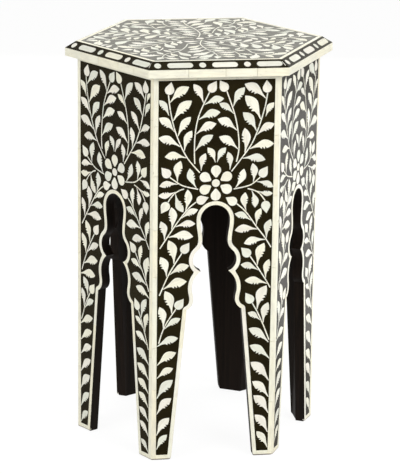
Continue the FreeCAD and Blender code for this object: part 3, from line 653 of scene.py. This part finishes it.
def place_on(line, share):
    """Point and heading at a share of a line's length."""
    reach = share * length_of(line)
    for start, end in zip(line, line[1:]):
        step = (end - start).length
        if reach <= step:
            break
        reach -= step
    return start.lerp(end, min(reach / step, 1)), (end - start).normalized()


def lay_stem(group, line):
    """A stem in short lengths that follow each other."""
    left, right = beside(line, -STEM_WIDTH / 2), beside(line, STEM_WIDTH / 2)
    for start in range(0, len(line) - 1, STEM_STEPS):
        end = min(start + STEM_STEPS, len(line) - 1)
        lay_bone(group, left[start:end + 1][::-1] + right[start:end + 1], line[end] - line[start])


def stem_leaf(line, share, tip):
    """Leaf that grows from a stem, with its smooth back towards the end of the stem."""
    point, heading = place_on(line, share)
    toward = (tip - point).normalized()
    slant = heading.x * toward.y - heading.y * toward.x
    root = point + toward * ((STEM_WIDTH / 2 + STEM_GAP) / max(abs(slant), LEAST_SLANT))
    return leaf_outline(root, tip, -1 if slant > 0 else 1)


def by_hand(point, most=TIP_SHIFT):
    """A point of the template, laid a little off by hand."""
    return Vector(point) + Vector((chance.uniform(-most, most), chance.uniform(-most, most)))


def round_outline(centre, diameter):
    """A disc."""
    arm = Vector((diameter / 2, 0))
    return [centre + Matrix.Rotation(2 * math.pi * i / DISC_STEPS, 2) @ arm for i in range(DISC_STEPS)]


def heading_at(degrees):
    """Unit vector of the drawing that is turned this far from its X."""
    return Matrix.Rotation(math.radians(degrees), 2) @ ACROSS


for index, side in enumerate(SIDES):
    mesh = bmesh.new()
    laid_otherwise = FRONT_LEFT_VINES if side == "front_left" else {}
    loose_leaves = LOOSE_LEAVES + (FRONT_LEFT_LEAVES if laid_otherwise else LEG_LEAVES)
    for number, vine in enumerate(SIDE_VINES):
        template, bud_tip, leaves = laid_otherwise.get(number, vine)
        tip = by_hand(bud_tip)
        back = (Vector(template[-1]) - tip).normalized()
        line = [by_hand(point, STEM_SHIFT) for point in template[:-1]]
        line.append(tip + back * (BUD_LENGTH + STEM_GAP))
        if abs(line[0].x) > FIELD_HALF - ROOT_NEAR:
            line[0] += (line[0] - line[1]).normalized() * ROOT_REACH
        line = smooth_line(line)
        lay_stem(mesh, line)
        lay_bone(mesh, bud_outline(tip + back * BUD_LENGTH, tip, BUD_WIDTH), back)
        for share, tip in leaves:
            tip = by_hand(tip)
            lay_bone(mesh, stem_leaf(line, share, tip), tip - place_on(line, share)[0])
    for root, tip, hand in loose_leaves:
        root, tip = by_hand(root, STEM_SHIFT), by_hand(tip)
        if abs(root.x) > FIELD_HALF - ROOT_NEAR:
            root += (root - tip).normalized() * ROOT_REACH / 2
        lay_bone(mesh, leaf_outline(root, tip, hand), tip - root)
    mesh.transform(side_frame(index))
    set_up("vine_bone_" + side, mesh, bone, ["vine_" + side])

    mesh = bmesh.new()
    lay_bone(mesh, round_outline(FLOWER, DISC), ACROSS, tints=DISC_TINTS)
    for petal in range(PETALS):
        out = heading_at(90 + 360 / PETALS * petal)
        start = by_hand(FLOWER + out * PETAL_START, PETAL_SHIFT)
        end = by_hand(FLOWER + out * PETAL_END, PETAL_SHIFT)
        point, *bulge = bud_outline(end, start, PETAL_WIDTH)
        blunt = [point.lerp(bulge[-1], PETAL_BLUNT), point.lerp(bulge[0], PETAL_BLUNT)]
        lay_bone(mesh, blunt + bulge, out)
    mesh.transform(side_frame(index))
    set_up("flower_bone_" + side, mesh, bone, ["flower_" + side])


# Edge of the top: a rim of bone strips 12 mm high, sawn in short lengths, butted and glued round
# the board, and over it a bevel of black resin with bars and dots of bone set in it. At one end
# of each side a thin sliver of bone stands by the mitre.
TABLE_HEIGHT = 600.0
RIM_FACE = 173.18
RIM_FOOT = 578.5
BEVEL_FOOT = 590.5
BEVEL_TOP_FACE = 159.18
BEVEL_TURN = math.atan2(TABLE_HEIGHT - BEVEL_FOOT, RIM_FACE - BEVEL_TOP_FACE)
RIM_LENGTHS = (36, 68)
BAR = Vector((37, 10))
DOT = 10.0
PAIRS = 3                  # of a dot and a bar on each side
SLIVER_GRAIN = Vector((0.5, 1))
SLIVER = ((-3.4, -5), (-1.6, -5), (-1.9, 5), (-3.1, 5))   # from the mitre's middle, across and along it
END_STEP = 20              # degrees from point to point round the end of a bar

rim = bmesh.new()
for index in range(len(SIDES)):
    mesh = bmesh.new()
    half = RIM_FACE * HALF_SIDE
    for left, right in lengths_of_strip(-half, half, *RIM_LENGTHS):
        outline = box_outline(left, RIM_FOOT, right, BEVEL_FOOT)
        bed = box_outline(max(left, -half + MITRE), RIM_FOOT, min(right, half - MITRE), BEVEL_FOOT)
        lay_bone(mesh, outline, ACROSS, bed, STRIP_TINTS)
    mesh.transform(side_frame(index, RIM_FACE))
    join_to(rim, mesh)
set_up("rim_strips_bone", rim, bone, ["rim_strips"])

nodes["bevel_ground"].data.materials[0] = resin


def bar_outline(centre, length, width):
    """A bar with round ends."""
    reach = Vector((length / 2 - width / 2, 0))
    half_turn = [math.radians(a) for a in range(-90, 91, END_STEP)]
    right = [centre + reach + Vector((math.cos(a), math.sin(a))) * width / 2 for a in half_turn]
    left = [centre - reach - Vector((math.cos(a), math.sin(a))) * width / 2 for a in half_turn]
    return right + left


bars = bmesh.new()
dots = bmesh.new()
bevel_face = (RIM_FACE + BEVEL_TOP_FACE) / 2
pitch = 2 * bevel_face * HALF_SIDE / PAIRS
gap = (pitch - DOT - BAR.x) / 2
mitre_end = Vector((bevel_face * HALF_SIDE, 0))
mitre_run = Vector((-HALF_SIDE * math.cos(BEVEL_TURN), 1)).normalized()
sliver = [mitre_end + Vector((x, 0)) + mitre_run * y for x, y in SLIVER]
for index in range(len(SIDES)):
    middle = Matrix.Translation((0, -bevel_face * MM, (TABLE_HEIGHT + BEVEL_FOOT) / 2 * MM))
    on_bevel = turned(index) @ middle @ Matrix.Rotation(BEVEL_TURN, 4, "X")
    dot_places = [-bevel_face * HALF_SIDE + step * pitch + (gap + DOT) / 2 for step in range(PAIRS)]
    mesh = bmesh.new()
    for dot in dot_places:
        bar = dot + DOT / 2 + gap + BAR.x / 2
        lay_bone(mesh, bar_outline(Vector((bar, 0)), *BAR), ACROSS)
    mesh.transform(on_bevel)
    join_to(bars, mesh)
    mesh = bmesh.new()
    for dot in dot_places:
        lay_bone(mesh, round_outline(Vector((dot, 0)), DOT), ACROSS)
    lay_bone(mesh, sliver, SLIVER_GRAIN)
    mesh.transform(on_bevel)
    join_to(dots, mesh)
set_up("bevel_bars_bone", bars, bone, ["bevel_bars"])
set_up("bevel_dots_bone", dots, bone, ["bevel_dots"])


# Face of the top: a field of the same resin inside a border of bone strips. Stems grow from
# a dot in the middle to the sides and corners, and leaves fill the room between them.
BORDER_WIDTH = 6.0
BORDER_LENGTHS = (45, 80)
FIELD_FACE = BEVEL_TOP_FACE - BORDER_WIDTH
on_top = Matrix.Translation((0, 0, TABLE_HEIGHT * MM))

border = bmesh.new()
for index in range(len(SIDES)):
    mesh = bmesh.new()
    half_out, half_in = BEVEL_TOP_FACE * HALF_SIDE, FIELD_FACE * HALF_SIDE
    for left, right in lengths_of_strip(-half_out, half_out, *BORDER_LENGTHS):
        outline = [Vector((left, -BEVEL_TOP_FACE)), Vector((right, -BEVEL_TOP_FACE)),
                   Vector((min(right, half_in), -FIELD_FACE)), Vector((max(left, -half_in), -FIELD_FACE))]
        lay_bone(mesh, outline, ACROSS, tints=STRIP_TINTS)
    mesh.transform(turned(index))
    join_to(border, mesh)
border.transform(on_top)
set_up("top_border_bone", border, bone, ["top_border"])

mesh = bmesh.new()
arm = Vector((FIELD_FACE / math.cos(math.radians(SIDE_TURN / 2)), 0))
corners = [Matrix.Rotation(math.radians(SIDE_TURN * i), 2) @ arm for i in range(len(SIDES))]
raise_slab(mesh, corners, -INLAY, 0)
mesh.transform(on_top)
set_up("resin_ground_top", mesh, resin, ["top_ground"])

TOP_STEMS = [
    # Degrees off the middle of a side, stem from the middle of the top out, tip of its bud
    (0, [(11, 0), (42, -6), (76, -3), (104, 4), (126, 6)], (147, 1)),
    (30, [(46, -2), (70, 4), (98, 5), (126, -4), (148, 0)], (169, 0)),
    (17, [(90, -4), (106, 2), (122, 2), (136, -2)], (153, 0)),
]
TOP_STEM_SHIFT = 0.8
TOP_BUD_LENGTH = 18.0
TOP_BUD_WIDTH = 11.0
MIDDLE_DOT = 12.0
BORDER_ROOM = 0.8          # room left between the border and a leaf,
PIECE_ROOM = 1             # round each piece of the top,
STEM_ROOM = 2              # and to each side of the middle of a stem
STALK = 6.0                # a leaf's stalk may come this near to its own stem
FINE_RINGS = 4             # rings of points that mark a piece's place, and that try a place
TRIAL_RINGS = 2
EDGE_POINTS = 3            # points of a ring along each edge, and of a stem along each step
STEP_POINTS = 4
LEAF_ROWS = 11             # leaves along each stem, from its bud down
FIRST_LEAF = 3.0
LEAF_PITCH = 16.0
LEAST_SHARE = 0.03         # no leaf grows nearer than this to the root of a stem
LEAF_LEANS = (48, 70)      # degrees off the stem
LEAF_REACHES = (38, 38, 36, 36, 34, 34, 32, 32, 30, 30, 28, 28, 26, 26, 24, 24, 22, 20, 18)
FILL_TRIES = 4000          # leaves that fill the room left over are tried at this many places,
FILL_LEANS = (15, 60)      # leaning off the way out by these degrees in the first half of the tries
LATE_LEANS = (15, 140)     # and by these in the second half
FILL_REACHES = (34, 31, 28, 25, 22, 20, 18, 16)
FILL_AREA = (0.006, 1.25)  # squares of the least and most distance out, by the field's


def in_field(outline):
    """Whether an outline lies inside the border of the top."""
    for index in range(len(SIDES)):
        out = heading_at(SIDE_TURN * index - 90)
        if max(point.dot(out) for point in outline) > FIELD_FACE - BORDER_ROOM:
            return False
    return True


def spread(outline, rings):
    """Points over a piece: this many rings of them between its outline and its middle."""
    middle = sum(outline, Vector((0, 0))) / len(outline)
    edges = list(zip(outline, outline[1:] + outline[:1]))
    ring = [a.lerp(b, i / EDGE_POINTS) for a, b in edges for i in range(EDGE_POINTS)]
    return [middle.lerp(point, 1 - step / rings) for step in range(rings) for point in ring]


def squares(points, room=0):
    """The millimetre squares that the points lie in or come this near to."""
    span = range(-room, room + 1)
    near = [(i, j) for i in span for j in span if i * i + j * j <= room * room]
    return {(round(x) + i, round(y) + j) for x, y in points for i, j in near}


mesh = bmesh.new()
middle_dot = round_outline(Vector((0, 0)), MIDDLE_DOT)
lay_bone(mesh, middle_dot, ACROSS)
taken = squares(spread(middle_dot, FINE_RINGS), PIECE_ROOM)
top_lines = []
for turn, template, bud_tip in TOP_STEMS:
    for index in range(len(SIDES)):
        spin = Matrix.Rotation(math.radians(SIDE_TURN * index - 90 + turn), 2)
        tip = spin @ by_hand(bud_tip)
        back = (spin @ Vector(template[-1]) - tip).normalized()
        line = [spin @ by_hand(point, TOP_STEM_SHIFT) for point in template[:-1]]
        line = smooth_line(line + [tip + back * (TOP_BUD_LENGTH + STEM_GAP)])
        lay_stem(mesh, line)
        top_lines.append(line)
        bud = bud_outline(tip + back * TOP_BUD_LENGTH, tip, TOP_BUD_WIDTH)
        lay_bone(mesh, bud, back)
        taken |= squares(spread(bud, FINE_RINGS), PIECE_ROOM)
        steps = list(zip(line, line[1:]))
        marks = [a.lerp(b, i / STEP_POINTS) for a, b in steps for i in range(STEP_POINTS)]
        taken |= squares(marks, STEM_ROOM)
for step in range(LEAF_ROWS):
    for line in top_lines:
        share = 1 - (step * LEAF_PITCH + FIRST_LEAF) / length_of(line)
        if share < LEAST_SHARE:
            continue
        point, heading = place_on(line, share)
        for hand in (1, -1) if step % 2 else (-1, 1):
            for reach in LEAF_REACHES:
                lean = Matrix.Rotation(math.radians(hand * chance.uniform(*LEAF_LEANS)), 2) @ heading
                leaf = stem_leaf(line, share, point + lean * reach)
                blade = [spot for spot in spread(leaf, TRIAL_RINGS) if (spot - point).length > STALK]
                if in_field(leaf) and taken.isdisjoint(squares(blade)):
                    lay_bone(mesh, leaf, lean)
                    taken |= squares(spread(leaf, FINE_RINGS), PIECE_ROOM)
                    break
for attempt in range(FILL_TRIES):
    out = Matrix.Rotation(chance.uniform(-math.pi, math.pi), 2) @ ACROSS
    root = out * FIELD_FACE * math.sqrt(chance.uniform(*FILL_AREA))
    hand = chance.choice((-1, 1))
    leans = FILL_LEANS if attempt < FILL_TRIES / 2 else LATE_LEANS
    lean = Matrix.Rotation(math.radians(hand * chance.uniform(*leans)), 2) @ out
    for reach in FILL_REACHES:
        leaf = leaf_outline(root, root + lean * reach, -hand)
        if in_field(leaf) and taken.isdisjoint(squares(spread(leaf, TRIAL_RINGS))):
            lay_bone(mesh, leaf, lean)
            taken |= squares(spread(leaf, FINE_RINGS), PIECE_ROOM)
            break
mesh.transform(on_top)
set_up("top_vine_bone", mesh, bone, ["top_vine"])


# Studio: a pale paper floor that is white to the camera but keeps the table's shadow, a soft key
# from the right front, a weaker fill from the left, an ivory screen behind and a box overhead for
# the gloss of the top, and a small low box at the right rear.
FLOOR_HALF = 9             # metres from its middle to its edge
FLECK_WIDTH = 12.5
FLOOR_GLOW = 1.08          # what the floor shows to the camera, and the share of that
GLOW_SHARE = 0.85
floor_finish, tree, shader = new_finish("pale_studio_floor")
place = add(tree, "ShaderNodeTexCoord").outputs["Object"]
fleck = add(tree, "ShaderNodeTexNoise", {"Vector": place, "Scale": noise_scale(FLECK_WIDTH), "Detail": 2})
paper = add(tree, "ShaderNodeValToRGB", {"Fac": fleck.outputs["Fac"]},
            [(0.2, linear("#eeeeec")), (0.8, linear("#f4f4f2"))])
tree.links.new(paper.outputs["Color"], shader.inputs["Base Color"])
shader.inputs["Roughness"].default_value = 0.9


def seen_straight(tree):
    """One for the rays that show the background: from the camera, mirrored, or through glass."""
    path = add(tree, "ShaderNodeLightPath").outputs
    mirrored_too = add(tree, "ShaderNodeMath", {0: path["Is Camera Ray"], 1: path["Is Glossy Ray"]},
                       operation="MAXIMUM")
    return add(tree, "ShaderNodeMath", {0: mirrored_too.outputs[0], 1: path["Is Transmission Ray"]},
               operation="MAXIMUM").outputs[0]


glow_share = add(tree, "ShaderNodeMath", {0: seen_straight(tree), 1: GLOW_SHARE}, operation="MULTIPLY")
glow = add(tree, "ShaderNodeEmission", {"Color": (1, 1, 1, 1), "Strength": FLOOR_GLOW})
both = add(tree, "ShaderNodeMixShader",
           {0: glow_share.outputs[0], 1: shader.outputs[0], 2: glow.outputs[0]})
tree.links.new(both.outputs[0], tree.nodes["Material Output"].inputs["Surface"])
mesh = bmesh.new()
bmesh.ops.create_grid(mesh, x_segments=2, y_segments=2, size=FLOOR_HALF)
data = bpy.data.meshes.new("studio_floor")
mesh.to_mesh(data)
mesh.free()
data.materials.append(floor_finish)
floor = bpy.data.objects.new("studio_floor", data)
scene.collection.objects.link(floor)

SOFT_LIGHT = 0.36          # what the white room sends onto the table
world = bpy.data.worlds.new("white_studio")
scene.world = world
world.use_nodes = True
tree = world.node_tree
tree.nodes.clear()
soft = add(tree, "ShaderNodeBackground", {"Color": (1, 1, 1, 1), "Strength": SOFT_LIGHT})
white = add(tree, "ShaderNodeBackground", {"Color": (1, 1, 1, 1), "Strength": 1.0})
both = add(tree, "ShaderNodeMixShader", {0: seen_straight(tree), 1: soft.outputs[0], 2: white.outputs[0]})
add(tree, "ShaderNodeOutputWorld", {"Surface": both.outputs[0]})

LAMPS = [
    # Name, place, aim, width and height in metres, power in watts, colour
    ("key_front_right", (1.5, -2.4, 1.9), (0, 0, 0.35), 1.6, 1.6, 51, "#ffffff"),
    ("fill_left", (-2.6, -1.6, 1.5), (0, 0, 0.3), 1.6, 1.6, 38, "#ffffff"),
    ("screen_behind", (0.4, 2.6, 1.0), (0, 0, 0.5), 3.2, 1.6, 23, "#fffff0"),
    ("overhead", (0.2, -0.2, 2.5), (0, 0, 0.6), 1.6, 1.6, 8, "#ffffff"),
    ("low_box_right_rear", (0.46, 0.2, 0.22), (0.13, -0.08, 0.3), 0.36, 0.42, 0.7, "#ffffff"),
]
for name, spot, aim, width, height, power, colour in LAMPS:
    lamp = bpy.data.lights.new(name, "AREA")
    lamp.shape = "RECTANGLE"
    lamp.size, lamp.size_y = width, height
    lamp.energy = power
    lamp.color = linear(colour)[:3]
    holder = bpy.data.objects.new(name, lamp)
    holder.location = spot
    holder.rotation_euler = (Vector(spot) - Vector(aim)).to_track_quat("Z", "Y").to_euler()
    scene.collection.objects.link(holder)


# Camera: on a tripod a little to the left of the front and above the top, with a long lens.
EYE = Vector((-0.550, -3.392, 1.277))
BACK = Vector((-0.1549, -0.9490, 0.2746)).normalized()    # from the table to the camera
ROLL = math.radians(0.733)
IMAGE_HEIGHT = 474         # of the picture that the focal length is given for, in pixels
FOCAL_PIXELS = 2367.3
FILM_WIDTH = 36
camera_data = bpy.data.cameras.new("camera")
camera_data.sensor_width = FILM_WIDTH
camera_data.lens = FOCAL_PIXELS * FILM_WIDTH / IMAGE_HEIGHT
camera = bpy.data.objects.new("camera", camera_data)
across = Vector((0, 0, 1)).cross(BACK).normalized()
level = Matrix((across, BACK.cross(across), BACK)).transposed().to_4x4()
camera.matrix_world = Matrix.Translation(EYE) @ level @ Matrix.Rotation(ROLL, 4, "Z")
scene.collection.objects.link(camera)
scene.camera = camera
scene.view_settings.view_transform = "Standard"

bpy.data.meshes.remove(spare)
